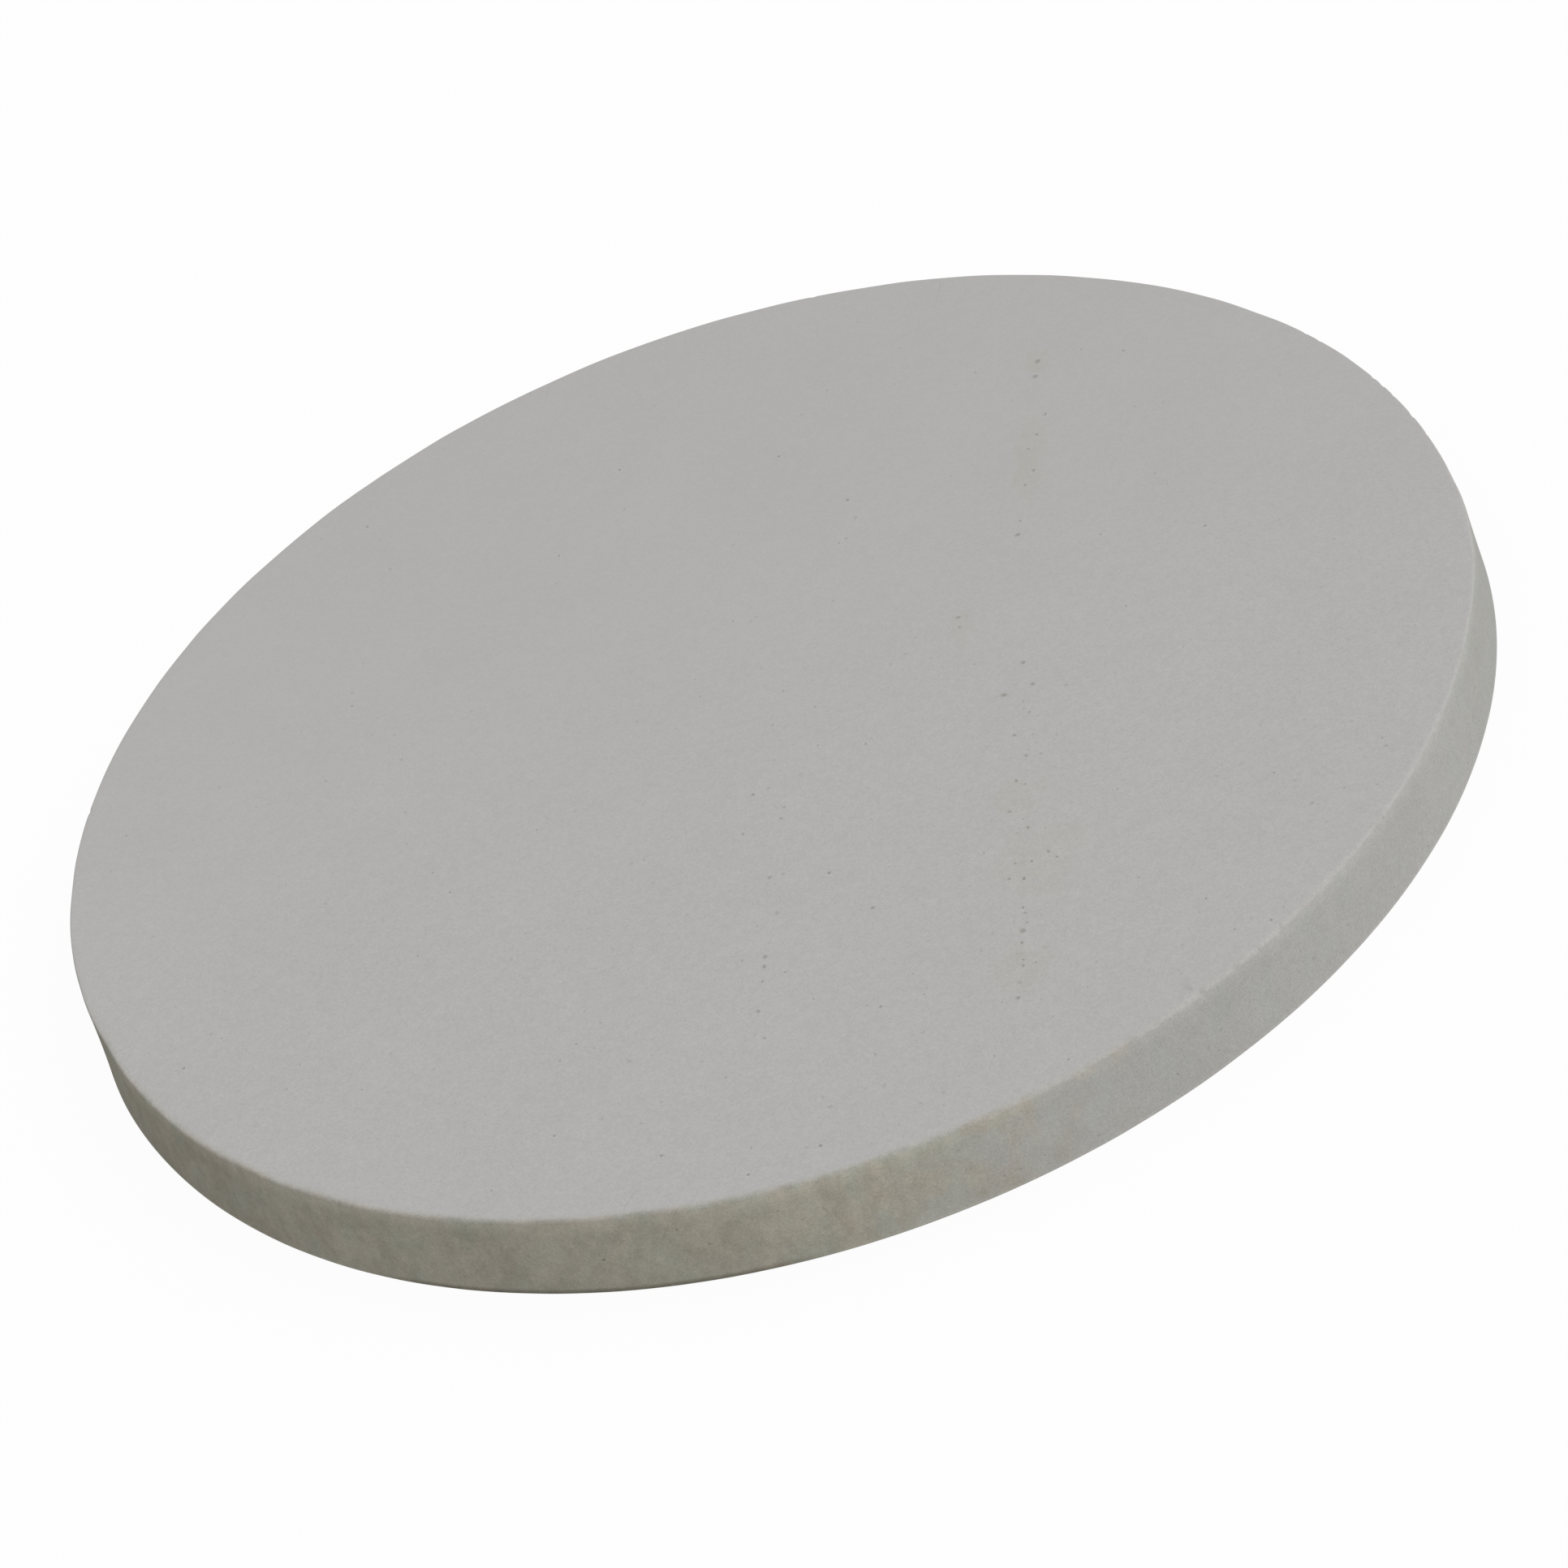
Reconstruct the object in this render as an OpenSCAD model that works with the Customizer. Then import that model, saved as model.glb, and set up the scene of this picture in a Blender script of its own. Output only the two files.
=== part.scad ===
// Round precast concrete manhole cover: one plain slab with a hand-tied mesh of steel bars cast inside it.
// Millimetres. +Z is up, and the origin is the middle of the underside, which rests on the seat of a frame.

/* [Slab] */
// Diameter of the walked-on face, measured where the face and the wall would meet in a sharp corner
face_d = 692; // [686:1:696]
// Diameter of the underside, wider than the face because the wall leans out to leave the mould
under_d = 700; // [698:1:704]
// Thickness of the slab
slab_h = 40; // [34:1:60]
// Radius of the soft arris round the walked-on face
face_arris = 1.5; // [0.5:0.25:3]
// Radius of the arris round the underside
under_arris = 1; // [0.5:0.25:3]

/* [Bars] */
// Diameter of every plain round bar
bar_d = 5; // [4:0.5:5.5]
// Distance between neighbouring bars of one layer
bar_pitch = 60; // [50:1:62]
// How far the mesh lies to one side of the slab's middle
mesh_shift = 14; // [8:1:16]
// Concrete between the underside and the lowest bars
under_cover = 10; // [9:1:14]
// Concrete between the hooks at the bars' ends and the wall
end_cover = 16; // [14:1:24]
// Inside diameter of the hook at each end of a bar
hook_bend_d = 12.5; // [10:0.5:15]
// Length of the straight tail after each hook
hook_tail = 15; // [8:1:20]

/* [Hoop] */
// Diameter of the edge hoop along its centre line
hoop_d = 620; // [616:1:622]
// Extra diameter of the butt weld that closes the hoop
weld_bead = 1.2; // [0.5:0.1:1.6]
// Length of that weld along the hoop
weld_length = 9; // [5:1:14]

/* [Tie wire] */
// Diameter of the soft wire that ties the bars
wire_d = 1.2; // [0.8:0.1:1.4]
// Width of the twisted tail of a tie
twist_d = 2.2; // [1.8:0.1:2.4]
// Reach of the twisted tail from the middle of the crossing
twist_reach = 13; // [10:0.5:13]

/* [Hidden] */
bars_per_layer = 10;
bar_numbers = [1:bars_per_layer];

slab_facets = 180;
bar_facets = 40;
wire_facets = 20;
slip = 0.2;        // gap between steel pieces that lie on each other, so that each is a solid of its own
hook_room = 12;    // how far inside the hoop the mesh ties stop, clear of it and of the hooks
tie_corner = 45;   // a mesh tie stands on the diagonal of its crossing

concrete = [0.69, 0.685, 0.675];
bar_steel = [0.33, 0.32, 0.32];
hoop_steel = [0.40, 0.37, 0.35];
tie_steel = [0.18, 0.18, 0.19];

wall_lean = atan((under_d - face_d) / 2 / slab_h);

layer_step = bar_d + slip;
lower_z = under_cover + bar_d / 2;
upper_z = lower_z + layer_step;
hoop_z = upper_z + layer_step;

bar_end_r = face_d / 2 - end_cover;
hoop_r = hoop_d / 2;
hook_r = (hook_bend_d + bar_d) / 2;

tie_r = bar_d + slip / 2 + wire_d / 2 + slip;
tie_room = tie_r + wire_d / 2 + bar_d / 2;

// Where bar number i of each layer lies. Lower bars run along X, and upper bars run along Y.
function lower_y(i) = (i - (bars_per_layer + 1) / 2) * bar_pitch;
function upper_x(i) = (i - bars_per_layer / 2 - 1) * bar_pitch + mesh_shift;

// Half of the chord that a line at this distance from the middle cuts from a circle
function half_chord(radius, distance) = sqrt(radius * radius - distance * distance);

// Every second crossing inside the hoop is tied, which leaves each bar held along its whole length.
mesh_crossings = [
    for (i = bar_numbers)
        for (j = bar_numbers)
            if ((i + j) % 2 == 0 && norm([upper_x(i), lower_y(j)]) < hoop_r - hook_room)
                [upper_x(i), lower_y(j)]
];

// Whether the wire has room under the hoop, beside each lower bar and the tail of that bar's hook
function clear_of_lower_bars(y) = min([
    for (j = bar_numbers)
        for (tail_side = [0, 2 * hook_r])
            abs(abs(y) - (abs(lower_y(j)) - tail_side))
]) > tie_room;

// The hoop is tied to both ends of each upper bar, except where a lower bar leaves the wire no room.
hoop_crossings = [
    for (i = bar_numbers)
        for (side = [-1, 1])
            let (y = side * half_chord(hoop_r, upper_x(i)))
                if (clear_of_lower_bars(y)) [upper_x(i), y]
];

// The disc's own shape: a leaning wall between two flat faces, with a round arris at each corner.
module slab_outline() {
    function arris_x(radius, z) = under_d / 2 - z * tan(wall_lean) - radius / cos(wall_lean);
    under_centre = [arris_x(under_arris, under_arris), under_arris];
    face_z = slab_h - face_arris;
    face_centre = [arris_x(face_arris, face_z), face_z];
    outward = [cos(wall_lean), sin(wall_lean)];
    polygon([
        [0, 0],
        [under_centre.x, 0],
        under_centre + under_arris * outward,
        face_centre + face_arris * outward,
        [face_centre.x, slab_h],
        [0, slab_h],
    ]);
    translate(under_centre) circle(r = under_arris, $fn = bar_facets);
    translate(face_centre) circle(r = face_arris, $fn = bar_facets);
}

// Part of a ring of round stock, lying flat, that starts on +X and turns by the angle
module round_arc(radius, stock_d, angle = 360, facets = bar_facets) {
    rotate_extrude(angle = angle, $fn = facets) translate([radius, 0]) circle(d = stock_d, $fn = bar_facets);
}

// A half-circle hook whose bar comes in along +X and whose tail goes back along -X on the +Y side
module bar_hook() {
    translate([0, hook_r, 0]) rotate([0, 0, -90]) round_arc(hook_r, bar_d, angle = 180);
    translate([-hook_tail, 2 * hook_r, 0]) rotate([0, 90, 0])
        cylinder(d = bar_d, h = hook_tail, $fn = bar_facets);
}

// One bar along X at this distance from the middle. Its straight part is cut to whole millimetres, to suit
// the slab's chord, and both hooks turn toward the middle of the slab.
module hooked_bar(distance) {
    straight = floor(half_chord(bar_end_r, distance) - hook_r - bar_d / 2);
    translate([0, distance, 0]) mirror([0, distance > 0 ? 1 : 0, 0]) {
        translate([-straight, 0, 0]) rotate([0, 90, 0])
            cylinder(d = bar_d, h = 2 * straight, $fn = bar_facets);
        translate([straight, 0, 0]) bar_hook();
        mirror([1, 0, 0]) translate([straight, 0, 0]) bar_hook();
    }
}

module lower_bar(i) {
    color(bar_steel) translate([0, 0, lower_z]) hooked_bar(lower_y(i));
}

module upper_bar(i) {
    color(bar_steel) translate([0, 0, upper_z]) rotate([0, 0, 90]) hooked_bar(-upper_x(i));
}

module edge_hoop() {
    weld_angle = weld_length / hoop_r * 180 / PI;
    color(hoop_steel) translate([0, 0, hoop_z]) {
        round_arc(hoop_r, bar_d, facets = slab_facets);
        rotate([0, 0, -weld_angle / 2])
            round_arc(hoop_r, bar_d + weld_bead, angle = weld_angle, facets = slab_facets);
    }
}

// One closed loop of wire, standing upright along the given direction, with its twisted tail on one side
module wire_tie(direction) {
    rotate([0, 0, direction]) {
        rotate([90, 0, 0]) rotate_extrude($fn = bar_facets)
            translate([tie_r, 0]) circle(d = wire_d, $fn = wire_facets);
        translate([tie_r, 0, 0]) rotate([0, 90, 0])
            cylinder(d = twist_d, h = twist_reach - tie_r, $fn = wire_facets);
    }
}

module mesh_ties() {
    color(tie_steel)
        for (place = mesh_crossings)
            translate([place.x, place.y, (lower_z + upper_z) / 2]) wire_tie(tie_corner);
}

// Each loop stands across the narrow angle between the bar and the hoop, where it closes tightest.
module hoop_ties() {
    color(tie_steel)
        for (place = hoop_crossings) {
            bearing = atan(place.y / place.x);
            translate([place.x, place.y, (upper_z + hoop_z) / 2])
                wire_tie(bearing / 2 + (place.x > 0 ? 180 : 0));
        }
}

module steel_cage() {
    for (i = bar_numbers) {
        lower_bar(i);
        upper_bar(i);
    }
    edge_hoop();
    mesh_ties();
    hoop_ties();
}

module concrete_slab() {
    color(concrete) difference() {
        rotate_extrude($fn = slab_facets) slab_outline();
        steel_cage();
    }
}

concrete_slab();
for (i = bar_numbers) lower_bar(i);
for (i = bar_numbers) upper_bar(i);
edge_hoop();
mesh_ties();
hoop_ties();
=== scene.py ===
import math
import random

import bpy
from mathutils import Matrix, Vector, noise
from mathutils.geometry import delaunay_2d_cdt
from mathutils.kdtree import KDTree


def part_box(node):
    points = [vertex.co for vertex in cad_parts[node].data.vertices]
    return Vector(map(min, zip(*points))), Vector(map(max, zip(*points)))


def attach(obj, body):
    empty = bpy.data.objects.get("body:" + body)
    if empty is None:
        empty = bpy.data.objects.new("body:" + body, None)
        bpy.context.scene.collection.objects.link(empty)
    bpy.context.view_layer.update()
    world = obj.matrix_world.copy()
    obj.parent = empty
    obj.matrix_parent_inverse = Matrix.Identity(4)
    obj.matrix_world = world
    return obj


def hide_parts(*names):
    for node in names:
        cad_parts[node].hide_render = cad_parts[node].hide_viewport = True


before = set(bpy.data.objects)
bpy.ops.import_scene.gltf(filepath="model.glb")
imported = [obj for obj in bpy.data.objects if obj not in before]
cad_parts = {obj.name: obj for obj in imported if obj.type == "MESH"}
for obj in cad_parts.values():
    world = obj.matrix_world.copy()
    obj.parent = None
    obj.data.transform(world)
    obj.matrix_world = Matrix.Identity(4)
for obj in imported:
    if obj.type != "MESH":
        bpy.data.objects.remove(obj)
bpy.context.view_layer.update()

# Round precast concrete manhole cover. The slab's skin is one closed mesh: a moulded face with pinholes,
# a soft chipped arris, a leaning wall with pits, and a trowelled underside. It is in metres, in the frame of
# the CAD model.

MM = 0.001
TOUCH = 0.01 * MM         # heights closer than this count as the same
MERGE = TOUCH / 10        # and points closer than this as the same point

# ---------------------------------------------------------------- the slab's outline, from the frame

slab_low, slab_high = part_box("concrete_slab")
HEIGHT = slab_high.z
FACE_ARRIS = 1.5 * MM
UNDER_ARRIS = 1.0 * MM


def flat_radius(level):
    """Radius of the CAD slab's flat face at this height."""
    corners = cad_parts["concrete_slab"].data.vertices
    return max(math.hypot(v.co.x, v.co.y) for v in corners if abs(v.co.z - level) < TOUCH)


FACE_FLAT = flat_radius(HEIGHT)
UNDER_FLAT = flat_radius(slab_low.z)
RISE = HEIGHT - FACE_ARRIS - UNDER_ARRIS
LEAN = math.atan2(UNDER_FLAT - FACE_FLAT, RISE) - math.asin(
    (FACE_ARRIS - UNDER_ARRIS) / math.hypot(UNDER_FLAT - FACE_FLAT, RISE)
)
UNDER_RADIUS = UNDER_FLAT + UNDER_ARRIS * (1 / math.cos(LEAN) + math.tan(LEAN))
FACE_RADIUS = UNDER_RADIUS - HEIGHT * math.tan(LEAN)
WALL_LENGTH = 2 * math.pi * (FACE_RADIUS + UNDER_RADIUS) / 2

# ---------------------------------------------------------------- how finely the skin is made

COLUMNS = 2000            # points round each ring of the arrises
FACE_GRID = 8 * MM        # distance between the face's own points
WALL_GRID = 3.6 * MM
UNDER_GRID = 7 * MM
FACE_EDGE = 3.6 * MM      # the upper arris's band starts this far inside the face's flat part
WALL_EDGE = 5.0 * MM      # and ends this far below the face
UNDER_EDGE = 3.0 * MM     # the lower arris's band starts this far inside the underside's flat part
WALL_LOW = 3.0 * MM       # and ends at this height
WALL_HIGH = HEIGHT - WALL_EDGE

SEEDS = {
    "chips": 11,
    "wall_pits": 23,
    "wall_grid": 29,
    "face_grid": 31,
    "face_pits": 37,
    "under_grid": 41,
    "under_pits": 43,
}


def dice(name):
    """The random numbers of one task, the same on every run."""
    return random.Random(SEEDS[name])


# ---------------------------------------------------------------- bearings, bars and the mesh being gathered

# The camera stands on bearing -90 of its own view. This turns a bearing of that view into the frame's.
CAMERA_TURN = math.radians(15.9)


def from_side(angle, bearing, sharpness):
    """1 on this bearing (in degrees, in the camera's view), falling to 0 a quarter turn away from it."""
    return max(0.0, math.cos(angle - CAMERA_TURN - math.radians(bearing))) ** sharpness


def wear(angle):
    """How worn the upper arris is at this bearing."""
    return from_side(angle, -58, 1.5)


# The two rows of pinholes stand over these upper bars. Both bars lie on the +X side of the middle.
FAR_BAR = 8
NEAR_BAR = 6


def bar_line(number):
    """The X of this upper bar's straight part. Its hooks turn toward -X, the middle of the slab."""
    low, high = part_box(f"upper_bar_{number}")
    return high.x - (high.z - low.z) / 2


class Skin:
    """Points, faces and point marks of the slab's mesh, gathered region by region."""

    def __init__(self):
        self.points = []
        self.faces = []
        self.marks = {"pit": [], "wall": [], "under": []}

    def add(self, point, pit=0.0, wall=0.0, under=0.0):
        """Keeps a point and its marks, and returns the point's index."""
        self.points.append(point)
        for name, value in (("pit", pit), ("wall", wall), ("under", under)):
            self.marks[name].append(value)
        return len(self.points) - 1

    def band(self, lower, upper):
        """Joins two rings of the same number of points with four-sided faces that look outward."""
        for i in range(len(lower)):
            j = (i + 1) % len(lower)
            self.faces.append((lower[i], lower[j], upper[j], upper[i]))

    def fill(self, outline, inside):
        """Joins a closed outline and the points inside it with triangles.

        Each entry is (u, v, the point's index)."""
        entries = outline + inside
        spots = [Vector((u, v)) for u, v, _ in entries]
        edges = [(i, (i + 1) % len(outline)) for i in range(len(outline))]
        _, _, triangles, origins, _, _ = delaunay_2d_cdt(spots, edges, [], 1, MERGE, True)
        for triangle in triangles:
            corners = [entries[origins[corner][0]][2] for corner in triangle]
            if len(set(corners)) == 3:
                self.faces.append(tuple(corners))


# ---------------------------------------------------------------- the slab's uneven surfaces

def wave(x, y, z, length, seed):
    """Smooth noise from 0 to 1 whose bumps are about this long."""
    return 0.5 + 0.5 * noise.noise(Vector((x, y, z)) / length + Vector((seed, seed, seed)))


def cone_radius(z):
    """Radius of the plain leaning wall at this height."""
    return UNDER_RADIUS - z * math.tan(LEAN)


def face_dip(x, y):
    """The mould's plate was very nearly flat."""
    return 0.06 * MM * wave(x, y, 0, 55 * MM, 3.1)


# Millimetres by which the wall is set back, to keep its widest part, near the underside, in the CAD box.
WALL_SLACK = 0.15


def wall_inset(x, y, z):
    """How far the wall lies inside its plain cone, or outside it where this is negative.

    Besides its unevenness it is a little out of round. The lower edge is flatter at two opposite ends. The
    upper edge bulges at one of them, where the mould was joined, and the other end has a slanted dent."""
    angle = math.atan2(y, x)
    share = z / HEIGHT
    broad = wave(x, y, z, 48 * MM, 7.7)
    close = wave(x, y, z, 9 * MM, 2.3)
    upper = 0.9 * (wave(x, y, z, 27 * MM, 5.3) - 0.5) * share ** 4
    across = math.cos(angle - CAMERA_TURN - math.radians(5)) ** 6 * (1 - 0.8 * share)
    bulge = from_side(angle, -12.5, 65) * share
    dent = from_side(angle, -177 + 8 * share, 200)
    uneven = WALL_SLACK + 0.12 * broad + 0.05 * close + upper
    return (uneven + 1.2 * across - 2.1 * bulge + 0.9 * dent) * MM


# The trowel's arcs: where each set is centred, in metres, and how far apart its arcs lie.
TROWEL_ARCS = [(-0.52, 0.17, 34 * MM), (0.31, -0.66, 61 * MM)]


def under_rise(x, y):
    """The open side of the mould was struck off and trowelled, which leaves shallow overlapping arcs."""
    arcs = 0.5
    for centre_x, centre_y, spacing in TROWEL_ARCS:
        arcs += 0.25 * math.sin(2 * math.pi * (math.hypot(x - centre_x, y - centre_y) / spacing))
    return (0.16 * arcs * wave(x, y, 0, 70 * MM, 5.9) + 0.30 * wave(x, y, 0, 90 * MM, 1.4)) * MM


def on_face(x, y, depth=0.0):
    return Vector((x, y, HEIGHT - face_dip(x, y) - depth))


def on_wall(angle, z, depth=0.0):
    nominal = cone_radius(z)
    inset = wall_inset(nominal * math.cos(angle), nominal * math.sin(angle), z)
    radius = nominal - inset - depth
    return Vector((radius * math.cos(angle), radius * math.sin(angle), z))


def on_underside(x, y, depth=0.0):
    return Vector((x, y, under_rise(x, y) + depth))


# ---------------------------------------------------------------- the arrises

SMALL_CHIPS = 200         # tried all round the upper arris, and kept mostly where it is worn
CHIP_SPAN = 0.03          # radians; no chip reaches this far from its own bearing
FULL_BITE = 0.5 * MM      # a chip this deep shows at its darkest
# How dark a chip is at its darkest, as a share of the pits' darkening: painted shade in the hollow, with
# dirt.
CHIP_DIRT_AND_SHADE = 0.15


class Chip:
    """A small bite out of the upper arris."""

    def __init__(self, angle, half_width, reach, depth):
        self.angle = angle
        self.half_width = half_width
        self.reach = reach
        self.depth = depth

    def turn_to(self, angle):
        """How far a bearing lies from the chip's own, from minus half a turn to half a turn."""
        return (angle - self.angle + math.pi) % (2 * math.pi) - math.pi

    def bite(self, angle, along_profile):
        """How deep the chip is at this bearing, this far along the arris's profile from its middle."""
        along = self.turn_to(angle) * FACE_RADIUS / self.half_width
        left = 1 - along * along - (along_profile / self.reach) ** 2
        return self.depth * left * (2 - left) if left > 0 else 0.0


def make_chips(rng):
    """Four notches stand near each other on the right of the camera's view, and small chips all round."""
    notches = [
        # bearing in the camera's view, and in millimetres half width, reach and depth
        (-67.0, 2.5, 2.5, 0.75),
        (-63.7, 2.1, 2.3, 0.65),
        (-61.4, 1.8, 1.9, 0.45),
        (-59.0, 2.5, 2.5, 0.70),
    ]
    chips = [
        Chip(math.radians(bearing) + CAMERA_TURN, half * MM, reach * MM, depth * MM)
        for bearing, half, reach, depth in notches
    ]
    for _ in range(SMALL_CHIPS):
        size = rng.uniform(0.8, 1.2) * (1 + rng.random() ** 6)
        angle = rng.uniform(0, 2 * math.pi)
        if rng.random() < 0.05 + wear(angle):
            chips.append(Chip(angle, size * 1.9 * MM, size * 1.3 * MM, size * 0.26 * MM))
    return chips


def arc_points(centre_x, centre_z, radius, start, end, steps):
    """Points along a round arris, as radius from the axis and height."""
    turns = [start + (end - start) * i / (steps - 1) for i in range(steps)]
    return [(centre_x + radius * math.cos(t), centre_z + radius * math.sin(t)) for t in turns]


def face_arris_profile(angle):
    """Upper arris at this bearing, from the wall up and over to the face. Its radius changes softly."""
    x, y = FACE_RADIUS * math.cos(angle), FACE_RADIUS * math.sin(angle)
    broad = wave(x, y, 0, 31 * MM, 9.2) - 0.5
    close = wave(x, y, 0, 9 * MM, 4.4) - 0.5
    soft = 0.40 * broad + (0.12 + 0.65 * wear(angle)) * close
    radius = FACE_ARRIS * (0.62 + 0.65 * from_side(angle, -90, 0.6) + soft)
    centre_z = HEIGHT - radius
    centre_x = cone_radius(centre_z) - radius / math.cos(LEAN)
    arc = arc_points(centre_x, centre_z, radius, LEAN, math.pi / 2, 7)
    wall = [(cone_radius(z), z) for z in (WALL_HIGH, HEIGHT - 0.62 * WALL_EDGE)]
    flat = [(FACE_FLAT - 0.45 * FACE_EDGE, HEIGHT), (FACE_FLAT - FACE_EDGE, HEIGHT)]
    return wall + arc + flat


def under_arris_profile(angle):
    """Lower arris at this bearing, from the underside out and up to the wall."""
    x, y = UNDER_RADIUS * math.cos(angle), UNDER_RADIUS * math.sin(angle)
    radius = UNDER_ARRIS * (0.38 + 0.35 * wave(x, y, 0, 23 * MM, 6.6))
    centre_x = cone_radius(radius) - radius / math.cos(LEAN)
    arc = arc_points(centre_x, radius, radius, -math.pi / 2, LEAN, 6)
    return [(UNDER_FLAT - UNDER_EDGE, 0.0)] + arc + [(cone_radius(WALL_LOW), WALL_LOW)]


def arris_point(angle, radius, z, bite):
    """Adds the unevenness that the neighbouring surfaces have, and the chips, to a point of the profile."""
    x, y = radius * math.cos(angle), radius * math.sin(angle)
    inset = wall_inset(x, y, z) + bite * math.cos(math.pi / 4)
    drop = face_dip(x, y) * z / HEIGHT + bite * math.sin(math.pi / 4)
    lift = under_rise(x, y) * max(0.0, 1 - z / WALL_LOW)
    radius -= inset
    return Vector((radius * math.cos(angle), radius * math.sin(angle), z - drop + lift))


def upper_marks(angle):
    """Wall and underside marks of the upper arris's rows.

    On the olive side, toward the left front of the camera's view, the wall's tint comes over the arris."""
    olive_share = min(1.0, 1.6 * from_side(angle, -130, 1.0)) * min(1.0, 2.2 * from_side(angle, -95, 1.0))
    plain_side_rows = [1, 1, 0.95, 0.85, 0.6, 0.35, 0.15, 0.04, 0, 0, 0]
    olive_side_rows = [1, 1, 1, 1, 1, 1, 0.97, 0.88, 0.65, 0.12, 0]
    walls = [clean + olive_share * (stained - clean) for clean, stained in zip(plain_side_rows, olive_side_rows)]
    return walls, [0] * len(walls)


def lower_marks(angle):
    """Wall and underside marks of the lower arris's rows, the same at every bearing."""
    return [0, 0.2, 0.5, 0.8, 1, 1, 1, 1], [1, 1, 1, 0.7, 0.3, 0.1, 0, 0]


def make_arris(skin, profile, chips, row_marks):
    """Makes the rings of one arris, from its lowest row to its highest.

    Returns the first and the last."""
    angles = [2 * math.pi * i / COLUMNS for i in range(COLUMNS)]
    rows = [[] for _ in profile(0.0)]
    for angle in angles:
        outline = profile(angle)
        wall_marks, under_marks = row_marks(angle)
        middle = outline[len(outline) // 2]
        near = [chip for chip in chips if abs(chip.turn_to(angle)) < CHIP_SPAN]
        for row, (radius, z) in enumerate(outline):
            offset = math.hypot(radius - middle[0], z - middle[1])
            rough = 0.8 + 0.4 * wave(radius * math.cos(angle), radius * math.sin(angle), z, 3.0 * MM, 8.3)
            bite = rough * max([chip.bite(angle, offset) for chip in near], default=0.0)
            point = arris_point(angle, radius, z, bite)
            # Chips are painted darker the deeper they bite: painted shade in the hollow, with dirt.
            chipped = CHIP_DIRT_AND_SHADE * min(1.0, bite / FULL_BITE)
            rows[row].append(skin.add(point, chipped, wall_marks[row], under_marks[row]))
    for lower, upper in zip(rows, rows[1:]):
        skin.band(lower, upper)
    return rows[0], rows[-1]


# ---------------------------------------------------------------- pits and pinholes

PIT_ROOM = 2.05           # a pit keeps this many of its radii to itself
GRID_ROOM = 2.3           # and the grid's points stay this many radii away from it
WIDE_PIT = 0.7 * MM       # a pit whose radius is larger than this gets more points
OPEN_SHARE = 0.25         # share of the bubbles that are open
ROW_PINHOLES = 26         # small ones tried along each of the two rows
ROW_STRETCH = (-250, 10)  # where along the bar they stand, in millimetres
FACE_PINHOLES = 1000      # tried over the whole face
WALL_PITS = 170
UNDER_PITS = 170

# The rows' larger pinholes, in millimetres: place along the bar, distance from its line, and radius.
# One that would run into an earlier one is left out.
FAR_ROW = [
    (-249, 1, 1.0), (-228, 3, 0.8), (-224, 3, 0.6), (-212, 2, 0.8), (-204, 2, 1.4), (-192, 3, 0.8),
    (-166, -5, 0.8), (-157, 17, 0.8), (-152, 13, 0.8), (-132, 3, 0.8), (-118, -6, 0.8), (-100, 1, 0.6),
    (-79, 1, 0.9), (-62, -5, 0.9), (-47, 2, 0.7), (-30, -11, 1.3), (-26, 3, 1.0), (-8, -2, 1.1),
    (30, -34, 0.7), (38, -35, 0.9), (95, -7, 1.2), (99, -7, 0.8), (106, -6, 0.7), (135, -4, 0.7),
    (146, 0, 0.8), (165, -3, 0.7), (176, 1, 0.8), (192, 5, 0.9), (227, -1, 1.3), (231, -2, 1.2),
    (240, 0, 1.4), (245, 1, 1.3),
]
NEAR_ROW = [
    (-243, 5, 0.7), (-224, 1, 1.0), (-204, 2, 0.7), (-201, 2, 0.8), (-194, 2, 1.0), (-187, 2, 1.1),
    (-131, 1, 0.9), (-95, -14, 0.7), (-89, 4, 0.7), (-81, 5, 0.7), (-67, -11, 0.9),
]


class Pit:
    """An air bubble's mark: a steep little bowl with an uneven rim, in a region's flat coordinates.

    The darkness argument says how dark its bottom is, as painted shade in the hollow together with dirt, and
    halo how dark the stain round its rim is."""

    def __init__(self, u, v, radius, depth, seed, stretch=1.0, heading=0.0, dirt_and_shade=1.0, halo=0.0):
        self.u = u
        self.v = v
        self.radius = radius
        self.depth = depth
        self.seed = seed
        self.stretch = stretch
        self.heading = heading
        self.dirt_and_shade = dirt_and_shade
        self.halo = halo

    def spots(self):
        """(u, v, depth, mark) of every point, from two flat rings outside the rim down to the bottom.

        The flat rings keep the rim's shading from spreading over the large triangles round the pit."""
        corners = 12 if self.radius > WIDE_PIT else 9
        # The marks darken the pit more the deeper it goes: painted shade in the hollow, with dirt.
        rings = [
            # share of the radius, share of the depth, points, mark
            (1.75, 0.00, corners, 0.0),
            (1.25, 0.00, corners, self.halo),
            (0.98, 0.14, corners, 0.35 + self.halo),
            (0.70, 0.60, corners - 2, 0.85),
            (0.38, 0.93, corners - 4, 1.0),
        ]
        found = [(self.u, self.v, self.depth, self.dirt_and_shade)]
        for share, drop, count, mark in rings:
            for i in range(count):
                turn = 2 * math.pi * (i + 0.5 * (count % 2)) / count
                ragged = 1 + 0.22 * noise.noise(Vector((math.cos(turn), math.sin(turn), self.seed * 3.7)))
                along = self.radius * share * ragged * self.stretch * math.cos(turn)
                across = self.radius * share * ragged / self.stretch * math.sin(turn)
                u = self.u + along * math.cos(self.heading) - across * math.sin(self.heading)
                v = self.v + along * math.sin(self.heading) + across * math.cos(self.heading)
                found.append((u, v, self.depth * drop, mark * self.dirt_and_shade))
        return found


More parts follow.
